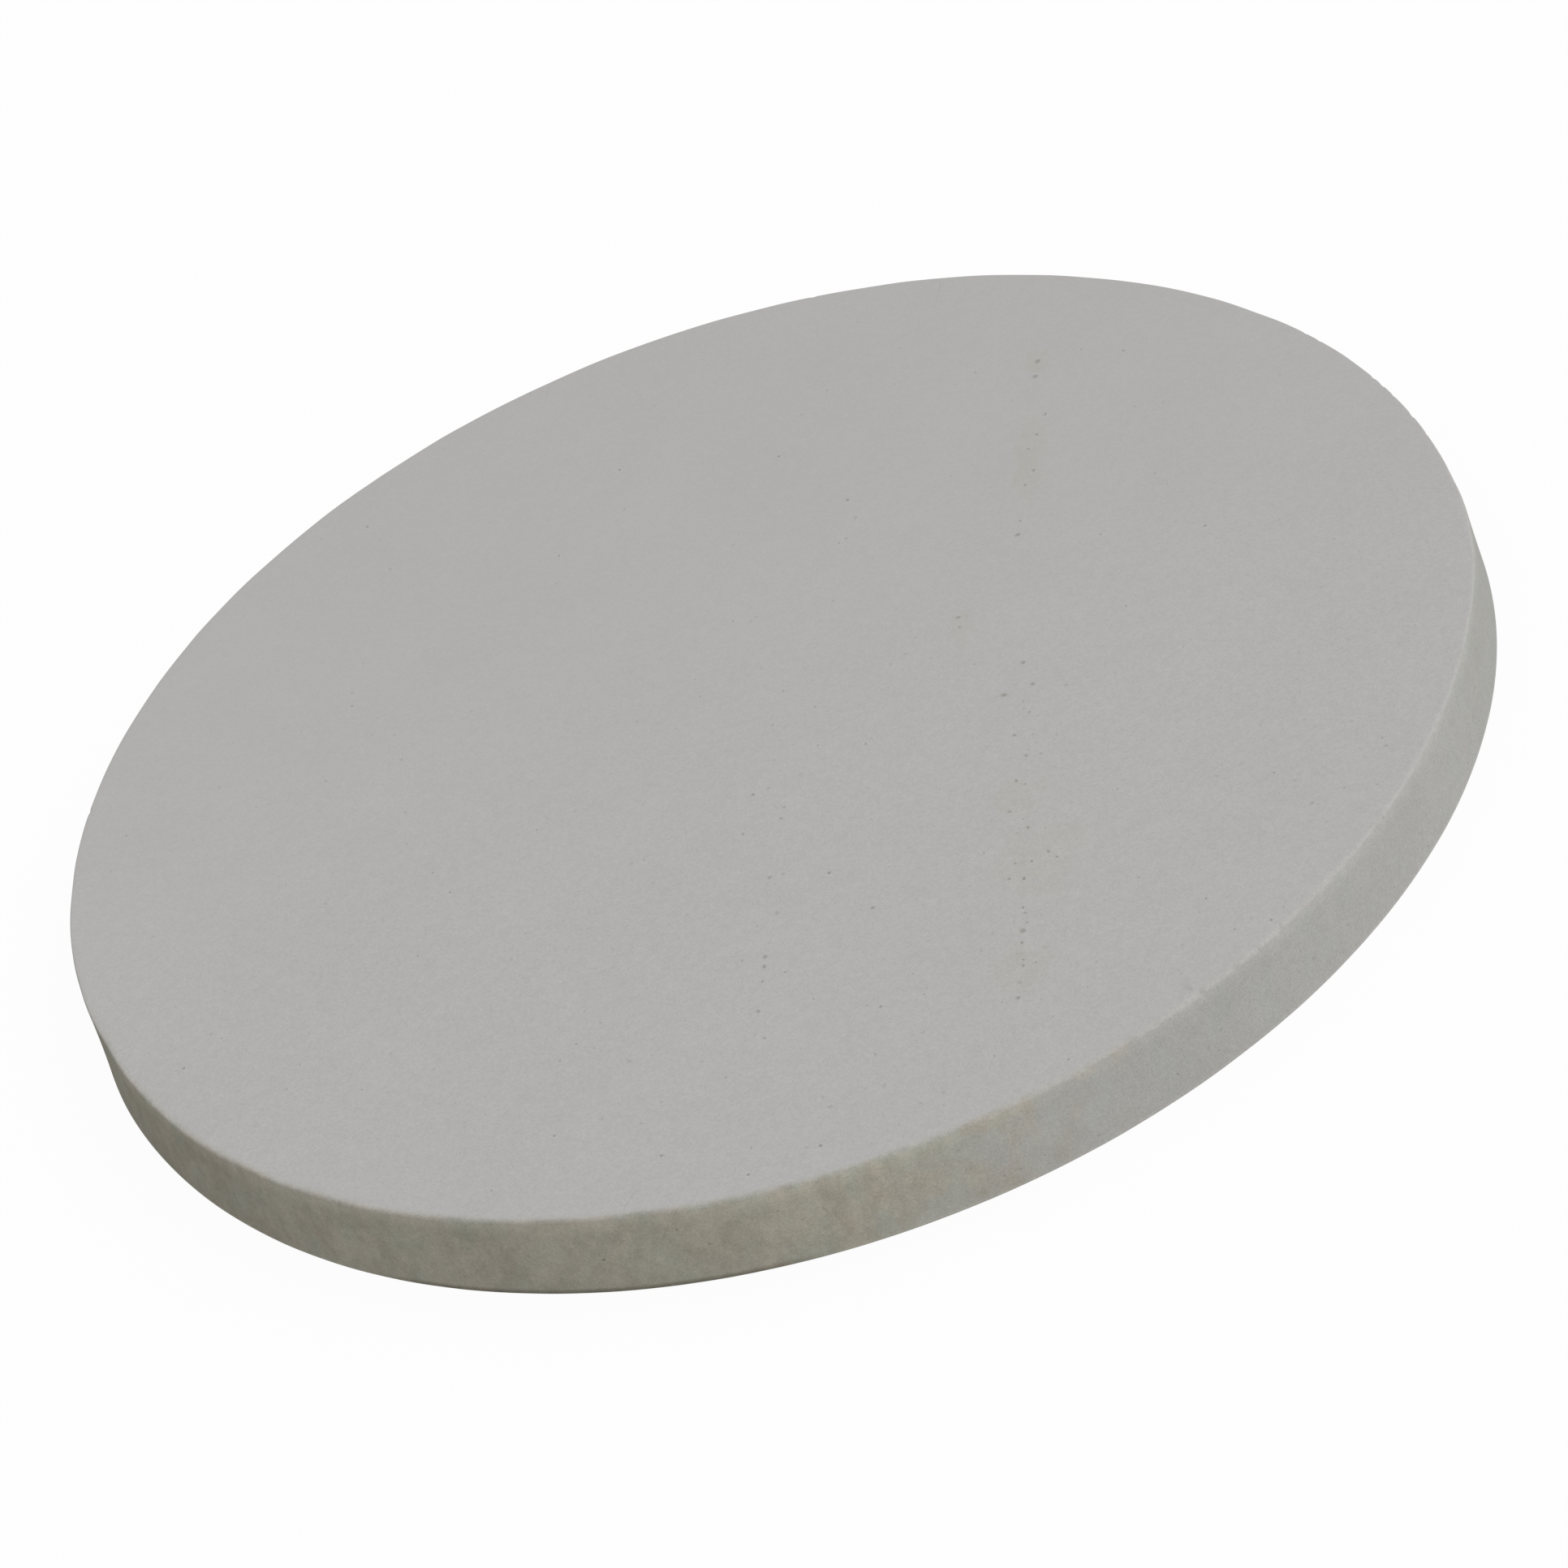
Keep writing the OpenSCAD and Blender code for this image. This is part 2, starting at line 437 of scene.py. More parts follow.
class PitField:
    """Pits that keep clear of each other and of the region's edge."""

    def __init__(self, fits):
        """fits(u, v, room) says whether a pit there keeps clear of the region's edge."""
        self.fits = fits
        self.pits = []

    def add(self, pit):
        """Keeps the pit if it has room."""
        room = PIT_ROOM * pit.radius * pit.stretch
        if not self.fits(pit.u, pit.v, room):
            return
        for other in self.pits:
            apart = math.hypot(pit.u - other.u, pit.v - other.v)
            if apart < room + PIT_ROOM * other.radius * other.stretch:
                return
        self.pits.append(pit)

    def grid(self, spots):
        """The grid points that are clear of every pit."""
        tree = KDTree(len(self.pits))
        for i, pit in enumerate(self.pits):
            tree.insert((pit.u, pit.v, 0), i)
        tree.balance()
        rooms = [GRID_ROOM * pit.radius * pit.stretch for pit in self.pits]
        clear = []
        for u, v in spots:
            close = tree.find_range((u, v, 0), max(rooms))
            if all(gap > rooms[i] for _, i, gap in close):
                clear.append((u, v))
        return clear


def bubble(rng, size):
    """Radius, depth and darkness of an air bubble's mark; the darkness is painted shade in the hollow, with
    dirt.

    Some are open, and cement paste nearly fills the others."""
    radius = (0.36 + 0.26 * rng.random() + 0.52 * rng.random() ** 6) * size * MM
    if rng.random() < OPEN_SHARE:
        return radius, radius * rng.uniform(0.45, 0.8), 0.8
    return 1.25 * radius, radius * rng.uniform(0.12, 0.3), rng.uniform(0.2, 0.5)


def spot_on_disc(rng, reach):
    """A random place on a disc, spread evenly."""
    radius = reach * math.sqrt(rng.random())
    angle = rng.uniform(0, 2 * math.pi)
    return radius * math.cos(angle), radius * math.sin(angle)


def face_pits(rng):
    """Pinholes of the moulded face, with two rows that stand over bars of the mesh."""
    field = PitField(lambda x, y, room: math.hypot(x, y) + room < FACE_FLAT - FACE_EDGE - MM)

    def pinhole(x, y, halo=0.0):
        radius, depth, dirt_and_shade = bubble(rng, 1.0)
        stretch = rng.uniform(1.0, 1.25)
        heading = rng.uniform(0, math.pi)
        field.add(Pit(x, y, radius, depth, rng.random(), stretch, heading, dirt_and_shade, halo))

    for row_x, pinholes in ((bar_line(FAR_BAR), FAR_ROW), (bar_line(NEAR_BAR), NEAR_ROW)):
        for along, across, size in pinholes:
            seed = rng.random()
            stretch = rng.uniform(1.0, 1.3)
            heading = rng.uniform(0, math.pi)
            x, y = row_x + across * MM, along * MM
            radius = size * MM
            field.add(Pit(x, y, radius, 0.5 * radius, seed, stretch, heading, dirt_and_shade=0.7, halo=0.3))
        for _ in range(ROW_PINHOLES):
            x = row_x + rng.gauss(1.5, 3.0) * MM
            y = rng.uniform(*ROW_STRETCH) * MM
            pinhole(x, y, halo=0.1)

    # the others are patchy, and more of them stand on the near side
    for _ in range(FACE_PINHOLES):
        x, y = spot_on_disc(rng, FACE_RADIUS)
        away = (y * math.cos(CAMERA_TURN) - x * math.sin(CAMERA_TURN)) / FACE_RADIUS
        nearness = 0.5 - 0.5 * away
        patch = wave(x, y, 0, 60 * MM, 6.1)
        if rng.random() < (0.15 + 0.85 * nearness ** 1.5) * (0.2 + 1.2 * patch):
            pinhole(x, y)
    return field


def wall_pits(rng):
    """Pits of the wall, in unrolled coordinates."""
    def fits(u, v, room):
        clear_of_seam = room + MM < u < WALL_LENGTH - room - MM
        return clear_of_seam and WALL_LOW + room < v < WALL_HIGH - room

    field = PitField(fits)
    for _ in range(WALL_PITS):
        u = rng.uniform(0, WALL_LENGTH)
        v = rng.uniform(WALL_LOW, WALL_HIGH)
        radius, depth, dirt_and_shade = bubble(rng, 1.25)
        seed = rng.random()
        stretch = rng.uniform(1.0, 1.4)
        heading = rng.gauss(0, 0.5)
        field.add(Pit(u, v, radius, depth, seed, stretch, heading, 0.75 * dirt_and_shade))
    return field


def underside_pits(rng):
    """Few and shallow: the trowel closed most of them."""
    field = PitField(lambda x, y, room: math.hypot(x, y) + room < UNDER_FLAT - UNDER_EDGE - MM)
    for _ in range(UNDER_PITS):
        x, y = spot_on_disc(rng, UNDER_RADIUS)
        radius = (0.5 + 0.5 * rng.random() + 1.5 * rng.random() ** 4) * MM
        depth = radius * rng.uniform(0.5, 0.9)
        seed = rng.random()
        stretch = rng.uniform(1.1, 1.6)
        heading = rng.uniform(0, math.pi)
        field.add(Pit(x, y, radius, depth, seed, stretch, heading))
    return field


# ---------------------------------------------------------------- the slab's regions

def disc_grid(rng, radius, step):
    """Staggered grid points inside a circle, each a little out of line."""
    rows = int(radius / step) + 1
    spots = []
    for row in range(-rows, rows + 1):
        for column in range(-rows, rows + 1):
            u = (column + 0.5 * (row % 2)) * step + rng.uniform(-0.2, 0.2) * step
            v = row * step * math.sqrt(3) / 2 + rng.uniform(-0.2, 0.2) * step
            if math.hypot(u, v) < radius - 0.6 * step:
                spots.append((u, v))
    return spots


def fill_disc(skin, ring, field, grid, place, flip, **marks):
    """Fills a ring with a disc.

    flip is -1 where the disc looks down, and its v axis then points along -Y."""
    outline = [(skin.points[i].x, flip * skin.points[i].y, i) for i in (ring if flip > 0 else ring[::-1])]
    inside = []
    for u, v in field.grid(grid):
        inside.append((u, v, skin.add(place(u, flip * v), **marks)))
    for pit in field.pits:
        for u, v, depth, mark in pit.spots():
            inside.append((u, v, skin.add(place(u, flip * v, depth), mark, **marks)))
    skin.fill(outline, inside)


def fill_wall(skin, lower, upper, field, rng):
    """Fills the wall between two rings. It is laid out flat, and both ends of that strip share one seam."""
    band = WALL_HIGH - WALL_LOW
    step = WALL_LENGTH / COLUMNS
    rows = int(band / WALL_GRID)
    levels = [WALL_LOW + band * row / rows for row in range(1, rows)]
    seam = [(v, skin.add(on_wall(0.0, v), wall=1.0)) for v in levels]
    outline = [(i * step, WALL_LOW, lower[i % COLUMNS]) for i in range(COLUMNS + 1)]
    outline += [(WALL_LENGTH, v, index) for v, index in seam]
    outline += [(i * step, WALL_HIGH, upper[i % COLUMNS]) for i in range(COLUMNS, -1, -1)]
    outline += [(0.0, v, index) for v, index in reversed(seam)]

    columns = int(WALL_LENGTH / WALL_GRID)
    spots = []
    for column in range(columns):
        for row in range(1, rows):
            u = (column + 0.75 - 0.5 * (row % 2) + rng.uniform(-0.2, 0.2)) * WALL_LENGTH / columns
            v = WALL_LOW + band * (row + rng.uniform(-0.2, 0.2)) / rows
            spots.append((u, v))

    def add(u, v, depth, mark):
        angle = 2 * math.pi * u / WALL_LENGTH
        return (u, v, skin.add(on_wall(angle, v, depth), mark, wall=1.0))

    inside = [add(u, v, 0.0, 0.0) for u, v in field.grid(spots)]
    for pit in field.pits:
        inside += [add(u, v, depth, mark) for u, v, depth, mark in pit.spots()]
    skin.fill(outline, inside)


def make_slab():
    """The slab's whole skin, with its marks for the material."""
    skin = Skin()
    chips = make_chips(dice("chips"))
    under_low, wall_low = make_arris(skin, under_arris_profile, [], lower_marks)
    wall_high, face_ring = make_arris(skin, face_arris_profile, chips, upper_marks)
    fill_wall(skin, wall_low, wall_high, wall_pits(dice("wall_pits")), dice("wall_grid"))

    face_grid = disc_grid(dice("face_grid"), FACE_FLAT - FACE_EDGE, FACE_GRID)
    fill_disc(skin, face_ring, face_pits(dice("face_pits")), face_grid, on_face, 1)

    under_grid = disc_grid(dice("under_grid"), UNDER_FLAT - UNDER_EDGE, UNDER_GRID)
    fill_disc(skin, under_low, underside_pits(dice("under_pits")), under_grid, on_underside, -1, under=1.0)

    mesh = bpy.data.meshes.new("concrete_skin")
    mesh.from_pydata(skin.points, [], skin.faces)
    for name, values in skin.marks.items():
        mesh.attributes.new(name, "FLOAT", "POINT").data.foreach_set("value", values)
    mesh.shade_smooth()
    slab = bpy.data.objects.new("concrete_skin", mesh)
    bpy.context.scene.collection.objects.link(slab)
    return slab


# ---------------------------------------------------------------- materials

class Shader:
    """One node material, with short calls for the nodes that the materials share."""

    def __init__(self, name):
        self.material = bpy.data.materials.new(name)
        self.material.use_nodes = True
        self.nodes = self.material.node_tree.nodes
        self.links = self.material.node_tree.links
        self.surface = self.nodes["Principled BSDF"]
        self.place = self.nodes.new("ShaderNodeTexCoord").outputs["Object"]

    def put(self, socket, value):
        if isinstance(value, bpy.types.NodeSocket):
            self.links.new(value, socket)
        else:
            socket.default_value = value

    def math(self, operation, first, second=0.0, third=0.0, clamp=False):
        node = self.nodes.new("ShaderNodeMath")
        node.operation = operation
        node.use_clamp = clamp
        for socket, value in zip(node.inputs, (first, second, third)):
            self.put(socket, value)
        return node.outputs[0]

    def total(self, *terms, plus=0.0):
        """The sum of values times their weights, given in pairs, plus a number."""
        result = plus
        for value, weight in terms:
            result = self.math("MULTIPLY_ADD", value, weight, result)
        return result

    def product(self, first, *others):
        result = first
        for other in others:
            result = self.math("MULTIPLY", result, other)
        return result

    def noise(self, size, detail=2.0, roughness=0.5, shift=0.0, place=None):
        """Noise from about 0 to 1, with bumps of this size in metres."""
        source = place or self.place
        if shift:
            moved = self.nodes.new("ShaderNodeVectorMath")
            moved.operation = "ADD"
            self.put(moved.inputs[0], source)
            moved.inputs[1].default_value = (shift, shift * 1.7, shift * 0.6)
            source = moved.outputs[0]
        node = self.nodes.new("ShaderNodeTexNoise")
        self.put(node.inputs["Vector"], source)
        node.inputs["Scale"].default_value = 1 / size
        node.inputs["Detail"].default_value = detail
        node.inputs["Roughness"].default_value = roughness
        return node.outputs["Fac"]

    def stretched(self, share):
        """Coordinates in which a pattern comes out taller, by 1 / share."""
        node = self.nodes.new("ShaderNodeVectorMath")
        node.operation = "MULTIPLY"
        self.put(node.inputs[0], self.place)
        node.inputs[1].default_value = (1, 1, share)
        return node.outputs[0]

    def specks(self, cell, radius, share):
        """1 inside round grains of this radius, in this share of cells of this size, and 0 outside them."""
        node = self.nodes.new("ShaderNodeTexVoronoi")
        self.put(node.inputs["Vector"], self.place)
        node.inputs["Scale"].default_value = 1 / cell
        chosen = self.nodes.new("ShaderNodeSeparateColor")
        self.put(chosen.inputs[0], node.outputs["Color"])
        inside = self.ramp(node.outputs["Distance"], radius / cell, 0.55 * radius / cell)
        return self.product(inside, self.math("LESS_THAN", chosen.outputs[0], share))

    def ramp(self, value, start, end, low=0.0, high=1.0):
        """Smooth step from low to high as the value goes from start to end."""
        node = self.nodes.new("ShaderNodeMapRange")
        node.interpolation_type = "SMOOTHSTEP"
        for socket, number in zip(node.inputs, (value, start, end, low, high)):
            self.put(socket, number)
        return node.outputs[0]

    def mark(self, name):
        node = self.nodes.new("ShaderNodeAttribute")
        node.attribute_name = name
        return node.outputs["Fac"]

    def mix(self, share, first, second, blend="MIX"):
        node = self.nodes.new("ShaderNodeMix")
        node.data_type = "RGBA"
        node.blend_type = blend
        self.put(node.inputs[0], share)
        for socket, colour in zip(node.inputs[6:8], (first, second)):
            self.put(socket, colour if isinstance(colour, bpy.types.NodeSocket) else (*colour, 1.0))
        return node.outputs[2]

    def tint(self, share, colour, tint):
        """The colour multiplied by the tint, as far as the share says."""
        return self.mix(share, colour, tint, "MULTIPLY")

    def axes(self):
        node = self.nodes.new("ShaderNodeSeparateXYZ")
        self.put(node.inputs[0], self.place)
        return node.outputs

    def bump(self, height):
        """Height in metres."""
        node = self.nodes.new("ShaderNodeBump")
        node.inputs["Strength"].default_value = 1.0
        node.inputs["Distance"].default_value = 1.0
        self.put(node.inputs["Height"], height)
        return node.outputs[0]


def toward(shader, bearing):
    """How far a point lies toward this bearing, as a share of the face's radius.

    The bearing is in degrees, in the camera's view."""
    turn = math.radians(bearing) + CAMERA_TURN
    x, y, _ = shader.axes()
    return shader.total((x, math.cos(turn) / FACE_RADIUS), (y, math.sin(turn) / FACE_RADIUS))


def grey(level):
    """A tint that changes only the brightness."""
    return (level, level, level)


def face_colour(s, grain):
    """Nearly even, with soft clouds and fine sand. The far half is a little darker and calmer."""
    clouds = s.noise(70 * MM, 3, 0.6)
    colour = s.mix(clouds, (0.382, 0.376, 0.366), (0.402, 0.396, 0.388))
    colour = s.tint(s.ramp(toward(s, -95), 0.3, -0.9), colour, (0.978, 0.98, 0.98))
    sand = s.noise(2.2 * MM, 4, 0.7, 0.9)
    clumps = s.noise(5.5 * MM, 3, 0.6, 6.3)
    speckle = s.total((clumps, 0.15), (sand, 0.30), (grain, 0.55))
    sandy = s.mix(s.ramp(speckle, 0.32, 0.68), grey(0.915), grey(1.085))
    return s.tint(s.ramp(toward(s, -95), 0.45, -0.55, 1.0, 0.5), colour, sandy)


def row_stains(s):
    """Where faint olive stains lie along the far row of pinholes."""
    places = [
        # in millimetres: distance from the row's bar, place along it, half width and half length
        (10, -155, 22, 28),
        (1, -228, 14, 16),
        (0, -108, 13, 14),
        (-2, 158, 9, 34),
        (-33, 28, 6, 16),
        (0, 240, 7, 14),
    ]
    x, y, _ = s.axes()
    row_x = bar_line(FAR_BAR)
    patches = s.ramp(s.noise(9 * MM, 4, 0.65, 0.3), 0.38, 0.62, 0.25, 1.0)
    ragged_rim = s.total((s.noise(14 * MM, 4, 0.7, 7.9), 3.2), plus=-1.6)
    olive_share = 0.0
    for across, along, half_width, half_length in places:
        off_x = s.product(s.math("SUBTRACT", x, row_x + across * MM), 1 / (half_width * MM))
        off_y = s.product(s.math("SUBTRACT", y, along * MM), 1 / (half_length * MM))
        off = s.total((off_x, off_x), (off_y, off_y), (ragged_rim, 1.0))
        olive_share = s.math("ADD", olive_share, s.ramp(off, 1.3, 0.2))
    return s.math("MULTIPLY", olive_share, patches, clamp=True)


def wall_tint(s, grain):
    """Olive and cloudier on one side, toward the left front of the camera's view, greenish at the right end,
    and lighter just below the face, which is painted light.

    The tint multiplies the face's colour."""
    z = s.axes()[2]
    upright = s.stretched(0.75)
    hue = s.noise(17 * MM, 4, 0.58, 0.7, upright)
    cloud = s.noise(8 * MM, 6, 0.68, 2.6, upright)
    broad = s.noise(27 * MM, 4, 0.6, 1.9)
    ragged = s.total((broad, 0.35), (hue, 0.45), plus=-0.40)
    top = s.ramp(z, HEIGHT - 9 * MM, HEIGHT - 1.5 * MM)
    olive = s.ramp(s.total((top, 0.08), (ragged, 1.0), (toward(s, -150), 1.0)), 0.22, 0.66)

    warm = s.ramp(hue, 0.38, 0.62)
    calm_hue = s.mix(warm, (0.988, 1.0, 0.972), (1.008, 0.996, 0.966))
    strong_hue = s.mix(warm, (0.900, 0.890, 0.750), (0.940, 0.880, 0.736))
    tint = s.mix(olive, calm_hue, strong_hue)

    light = s.total((broad, 0.40), (cloud, 0.60))
    calm_light = s.mix(s.ramp(light, 0.34, 0.66), (0.95, 0.95, 0.947), grey(1.003))
    strong_light = s.mix(s.ramp(light, 0.36, 0.64), (0.86, 0.86, 0.85), (1.06, 1.06, 1.065))
    tint = s.tint(1.0, tint, s.mix(olive, calm_light, strong_light))

    # Painted light: the band just below the face is painted lighter, by 8% on the plain side and by 13% on
    # the olive side, where the arris itself gets a slightly darker, bluer tint instead.
    arris = s.ramp(z, HEIGHT - 2.4 * MM, HEIGHT - 0.4 * MM)
    olive_side_lit_top = s.mix(arris, grey(1.13), (0.955, 0.968, 1.045))
    tint = s.tint(top, tint, s.mix(olive, grey(1.08), olive_side_lit_top))

    green = s.ramp(s.total((ragged, 0.25), (toward(s, -2), 1.0)), 0.80, 0.94)
    tint = s.tint(green, tint, (0.948, 0.962, 0.950))
    # Painted shade and painted light: the wall is painted 3% darker round bearing -115 and 4.5% lighter
    # round bearing -90 of the camera's view.
    for bearing, strength in ((-115, 0.97), (-90, 1.045)):
        tint = s.tint(s.ramp(toward(s, bearing), 0.95, 0.995), tint, grey(strength))
    # Darker towards the bottom on the olive side.
    low_darkening = s.product(s.ramp(z, 15 * MM, 4 * MM), olive)
    tint = s.tint(low_darkening, tint, (0.955, 0.955, 0.96))

    grit = s.ramp(grain, 0.34, 0.66)
    calm_grit = s.mix(grit, grey(0.97), grey(1.03))
    strong_grit = s.mix(grit, grey(0.96), grey(1.04))
    return s.tint(1.0, tint, s.mix(olive, calm_grit, strong_grit))


def bottom_edge(s, colour):
    """The wall's bottom edge is painted a little lighter, a painted highlight, and along one stretch it is
    painted much darker, a painted shade line along the lower arris.
    """
    z = s.axes()[2]
    # Painted highlight along the bottom edge, except round bearing -117, where a painted shade line takes
    # its place.
    shaded_stretch = s.ramp(toward(s, -117), 0.95, 0.995)
    painted_edge_highlight = s.product(s.ramp(z, 2.4 * MM, 1.5 * MM), s.math("SUBTRACT", 1.0, shaded_stretch))
    painted_edge_shade = s.product(s.ramp(z, 3.6 * MM, 1.0 * MM), shaded_stretch)
    colour = s.tint(painted_edge_highlight, colour, grey(1.09))
    return s.tint(painted_edge_shade, colour, (0.55, 0.53, 0.50))


def underside_colour(s):
    """A little lighter where the trowel pressed the cement up."""
    trowel = s.noise(40 * MM, 5, 0.7, 3.8)
    return s.mix(s.ramp(trowel, 0.35, 0.65), (0.33, 0.325, 0.31), (0.43, 0.425, 0.41))


def sand_grains(s, colour):
    """A few pale grains, and dark and faint ones that show mostly on the near half."""
    near = s.ramp(toward(s, -75), -0.5, 0.4, 0.1, 1.0)
    pale = s.specks(4.7 * MM, 0.36 * MM, 0.10)
    dark = s.specks(3.6 * MM, 0.40 * MM, 0.38)
    faint = s.specks(2.6 * MM, 0.42 * MM, 0.55)
    colour = s.mix(s.product(pale, 0.22), colour, (0.60, 0.59, 0.57))
    colour = s.mix(s.product(dark, near, 0.30), colour, (0.22, 0.215, 0.20))
    return s.mix(s.product(faint, near, 0.28), colour, (0.24, 0.235, 0.22))


def concrete():
    """Plain grey cement concrete: an even moulded face, a cloudy stained wall and a trowelled underside."""
    s = Shader("precast_concrete")
    wall = s.mark("wall")
    grain = s.noise(0.9 * MM, 3, 0.7)
    colour = s.tint(row_stains(s), face_colour(s, grain), (0.975, 0.968, 0.925))
    colour = s.tint(wall, colour, wall_tint(s, grain))
    colour = bottom_edge(s, colour)
    colour = s.mix(s.mark("under"), colour, underside_colour(s))
    colour = sand_grains(s, colour)
    # Pits and chips are darkened by their mark, most where they are deepest: painted shade in the hollows,
    # with dirt.
    colour = s.tint(s.mark("pit"), colour, (0.74, 0.72, 0.66))
    s.put(s.surface.inputs["Base Color"], colour)

    rough = s.noise(1.4 * MM, 3, 0.6, 5.2)
    s.put(s.surface.inputs["Roughness"], s.ramp(rough, 0.3, 0.7, 0.82, 0.94))
    s.surface.inputs["Specular IOR Level"].default_value = 0.25

    fine_height = s.product(grain, 0.05 * MM)
    paste_height = s.total((wall, 0.10 * MM), plus=0.028 * MM)
    paste = s.noise(3.5 * MM, 3, 0.6, 4.4)
    s.put(s.surface.inputs["Normal"], s.bump(s.total((paste, paste_height), (fine_height, 1.0))))
    return s.material


def mill_steel(name, scale_tone, rust_share, rough_low):
    """Hot-rolled bar: blue-grey mill scale with rust coming through it."""
    s = Shader(name)
    flakes = s.noise(3 * MM, 5, 0.65)
    scale = s.mix(flakes, [0.8 * c for c in scale_tone], [1.25 * c for c in scale_tone])
    patches = s.noise(14 * MM, 6, 0.72, 1.3)
    rust_tone = s.mix(s.noise(1.2 * MM, 4, 0.7, 2.2), (0.13, 0.045, 0.018), (0.32, 0.13, 0.045))
    edge = 0.72 - 0.4 * rust_share
    rust = s.ramp(patches, edge - 0.05, edge + 0.05)
    s.put(s.surface.inputs["Base Color"], s.mix(rust, scale, rust_tone))
    s.put(s.surface.inputs["Metallic"], s.ramp(rust, 0.0, 1.0, 0.85, 0.05))
    s.put(s.surface.inputs["Roughness"], s.ramp(rust, 0.0, 1.0, rough_low, 0.9))
    rust_height = s.total((rust, 0.10 * MM), plus=0.02 * MM)
    s.put(s.surface.inputs["Normal"], s.bump(s.product(s.noise(0.8 * MM, 4, 0.7, 0.9), rust_height)))
    return s


def bar_steel():
    """The bars' own finish."""
    return mill_steel("mill_scale_bar", (0.13, 0.125, 0.13), 0.30, 0.42).material


def hoop_steel():
    """The same steel, rustier, with straw and blue heat tint beside the butt weld."""
    s = mill_steel("rusty_hoop", (0.15, 0.13, 0.12), 0.62, 0.5)
    plain = s.surface.inputs["Base Color"].links[0].from_socket
    x, y, _ = s.axes()
    from_weld = s.math("ADD", s.math("ABSOLUTE", y), s.ramp(x, 0.1, -0.1))
    blue = s.ramp(from_weld, 16 * MM, 8 * MM)
    straw = s.ramp(from_weld, 28 * MM, 16 * MM)
    tinted = s.mix(s.product(straw, 0.7), plain, (0.30, 0.19, 0.07))
    tinted = s.mix(s.product(blue, 0.8), tinted, (0.06, 0.08, 0.16))
    bead = s.ramp(from_weld, 5.0 * MM, 4.2 * MM)
    s.put(s.surface.inputs["Base Color"], s.mix(bead, tinted, (0.17, 0.16, 0.16)))
    return s.material


def tie_wire():
    """Black annealed wire, with a dull sheen and a little orange bloom."""
    s = Shader("annealed_wire")
    bloom = s.ramp(s.noise(6 * MM, 4, 0.7), 0.56, 0.68)
    dark = s.mix(s.noise(0.7 * MM, 3, 0.6, 1.1), (0.035, 0.035, 0.038), (0.075, 0.073, 0.072))
    s.put(s.surface.inputs["Base Color"], s.mix(bloom, dark, (0.17, 0.075, 0.03)))
    s.put(s.surface.inputs["Metallic"], s.ramp(bloom, 0.0, 1.0, 0.8, 0.1))
    s.put(s.surface.inputs["Roughness"], s.ramp(bloom, 0.0, 1.0, 0.45, 0.85))
    s.put(s.surface.inputs["Normal"], s.bump(s.product(s.noise(0.4 * MM, 3, 0.6, 2.7), 0.02 * MM)))
    return s.material


def finish_steel():
    """The cage inside the slab keeps its CAD shapes and gets its own steels."""
    bars, hoop, wire = bar_steel(), hoop_steel(), tie_wire()
    finishes = {"edge_hoop": hoop, "mesh_ties": wire, "hoop_ties": wire}
    for name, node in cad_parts.items():
        if name != "concrete_slab":
            for slot in node.material_slots:
                slot.material = finishes.get(name, bars)


# ---------------------------------------------------------------- stage, light and camera

def make_floor():
    """A pale floor. It glows, to stay nearly white round the slab, but it throws no light on the slab."""
    reach = 12.0
    corners = [(-reach, -reach, 0), (reach, -reach, 0), (reach, reach, 0), (-reach, reach, 0)]
    mesh = bpy.data.meshes.new("floor")
    mesh.from_pydata(corners, [], [(0, 1, 2, 3)])
    floor = bpy.data.objects.new("floor", mesh)
    bpy.context.scene.collection.objects.link(floor)
    s = Shader("pale_floor")
    s.surface.inputs["Base Color"].default_value = (0.04, 0.04, 0.04, 1)
    s.surface.inputs["Roughness"].default_value = 1.0
    s.surface.inputs["Specular IOR Level"].default_value = 0.0
    s.surface.inputs["Emission Color"].default_value = (1.0, 1.0, 1.0, 1)
    s.surface.inputs["Emission Strength"].default_value = 0.945
    mesh.materials.append(s.material)
    floor.visible_diffuse = False
    floor.visible_glossy = False
    floor.visible_shadow = False


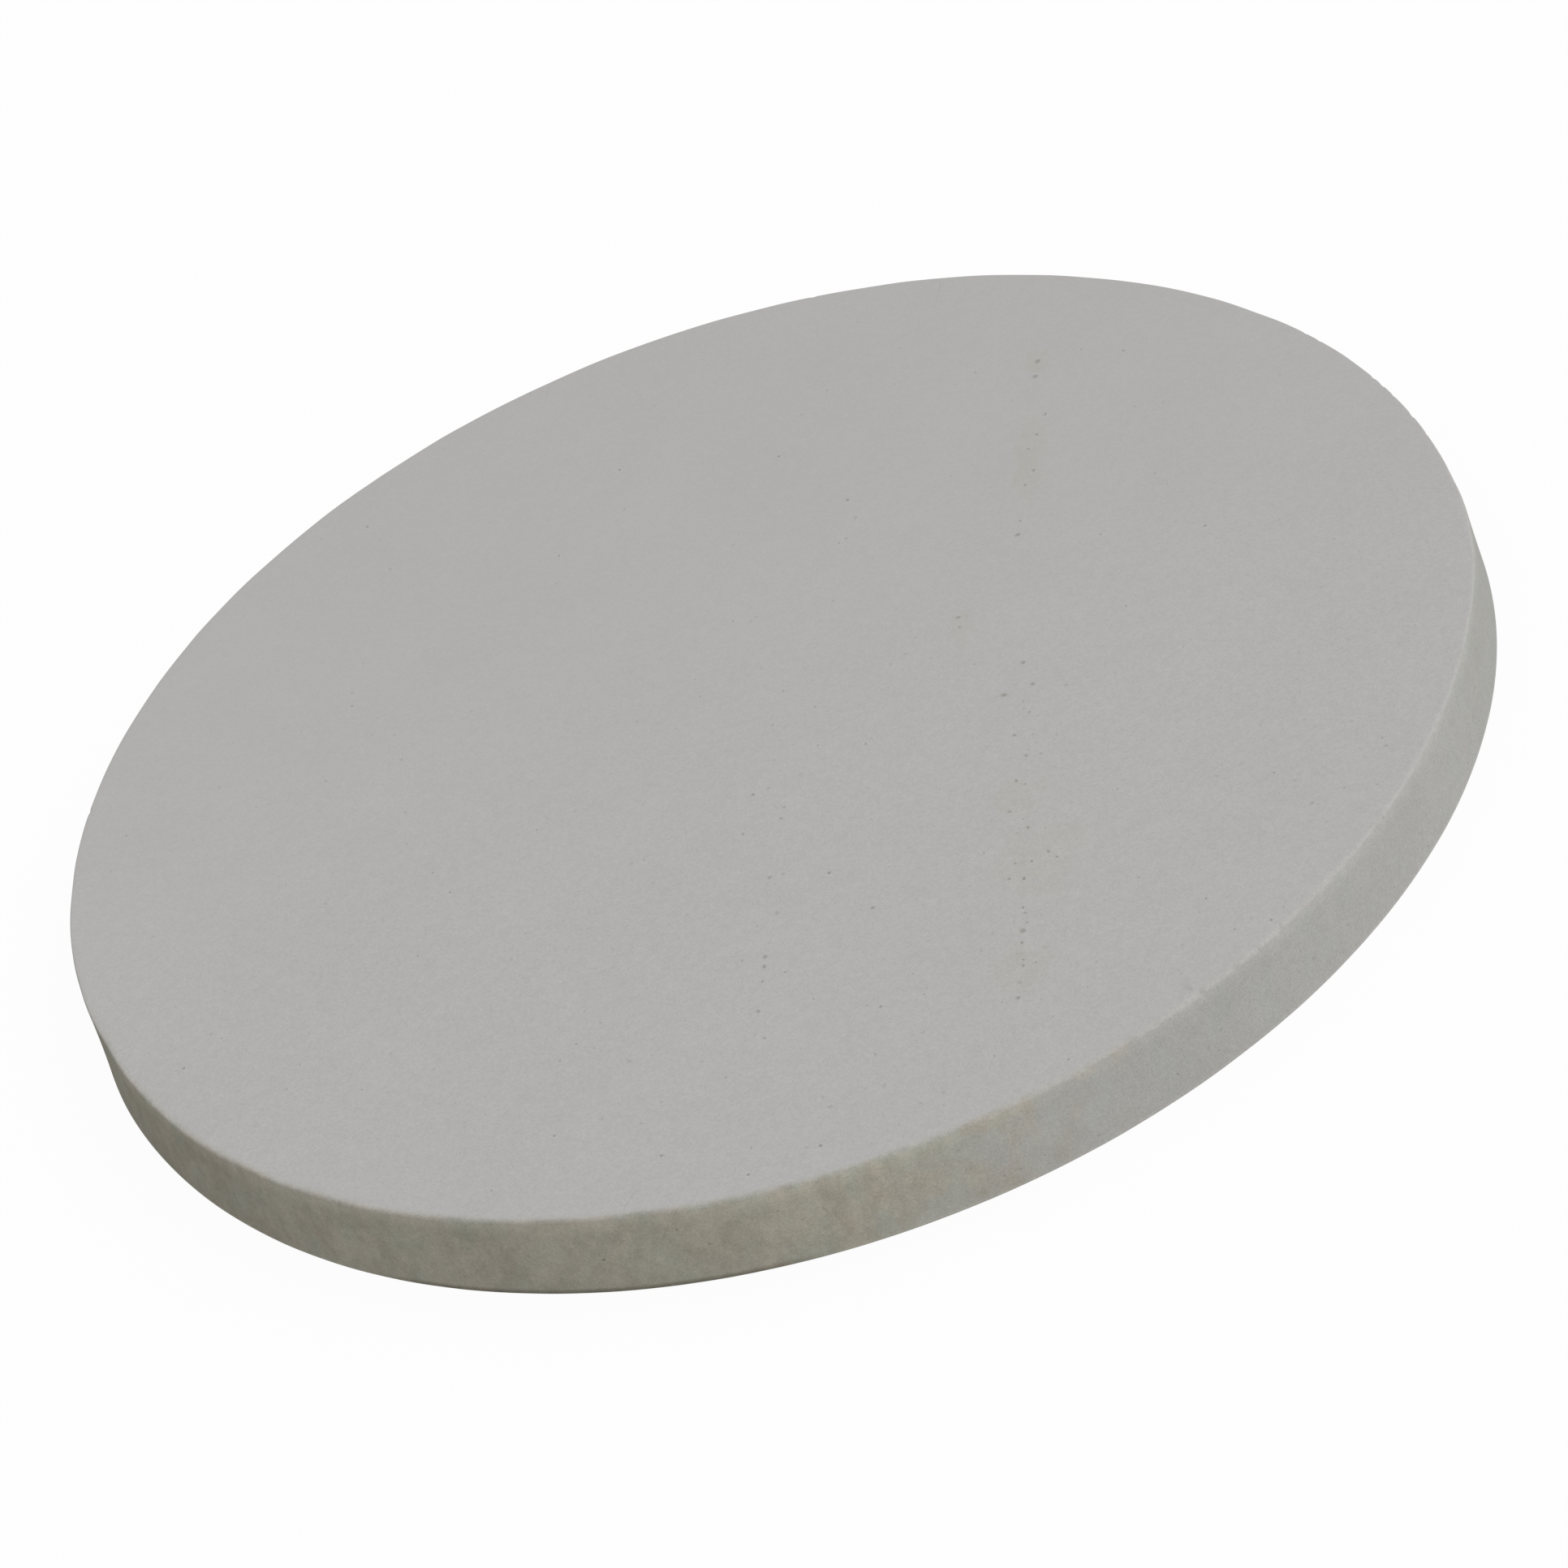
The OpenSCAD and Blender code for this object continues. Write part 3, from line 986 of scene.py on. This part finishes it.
def make_light():
    """Soft studio light from every side, brightest from high up on the right of the view.

    It runs from level + swing in the brightest direction to level - swing in the opposite one, and strength
    scales it all."""
    level, swing, strength = 0.664, 0.6465, 1.10
    high, bearing = math.radians(51), math.radians(-10) + CAMERA_TURN
    brightest = (math.cos(high) * math.cos(bearing), math.cos(high) * math.sin(bearing), math.sin(high))
    world = bpy.data.worlds.new("studio")
    world.use_nodes = True
    nodes, links = world.node_tree.nodes, world.node_tree.links
    direction = nodes.new("ShaderNodeTexCoord")
    facing = nodes.new("ShaderNodeVectorMath")
    facing.operation = "DOT_PRODUCT"
    facing.inputs[1].default_value = brightest
    links.new(direction.outputs["Generated"], facing.inputs[0])
    glow = nodes.new("ShaderNodeMath")
    glow.operation = "MULTIPLY_ADD"
    glow.inputs[1].default_value = swing * strength
    glow.inputs[2].default_value = level * strength
    links.new(facing.outputs["Value"], glow.inputs[0])
    background = nodes["Background"]
    background.inputs["Color"].default_value = (1, 1, 1, 1)
    links.new(glow.outputs[0], background.inputs["Strength"])
    bpy.context.scene.world = world


def make_camera():
    """A long lens, looking down at 36 degrees and rolled. back and up count radii of the face."""
    elevation, roll = math.radians(35.91), math.radians(-20.97)
    back, up = 6.3894, 4.4881
    turn = Matrix.Rotation(CAMERA_TURN, 4, "Z")
    data = bpy.data.cameras.new("camera")
    data.sensor_width = 36
    data.lens = 130.7
    data.clip_end = 100
    camera = bpy.data.objects.new("camera", data)
    place = turn @ Vector((0, -back, up)) * FACE_RADIUS + Vector((0, 0, HEIGHT))
    tilt = Matrix.Rotation(math.pi / 2 - elevation, 4, "X")
    camera.matrix_world = Matrix.Translation(place) @ turn @ tilt @ Matrix.Rotation(roll, 4, "Z")
    bpy.context.scene.collection.objects.link(camera)
    bpy.context.scene.camera = camera


# ---------------------------------------------------------------- the scene

make_camera()
make_light()
make_floor()
bpy.context.scene.view_settings.view_transform = "Standard"

slab = make_slab()
slab.data.materials.append(concrete())
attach(slab, "root")
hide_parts("concrete_slab")
finish_steel()
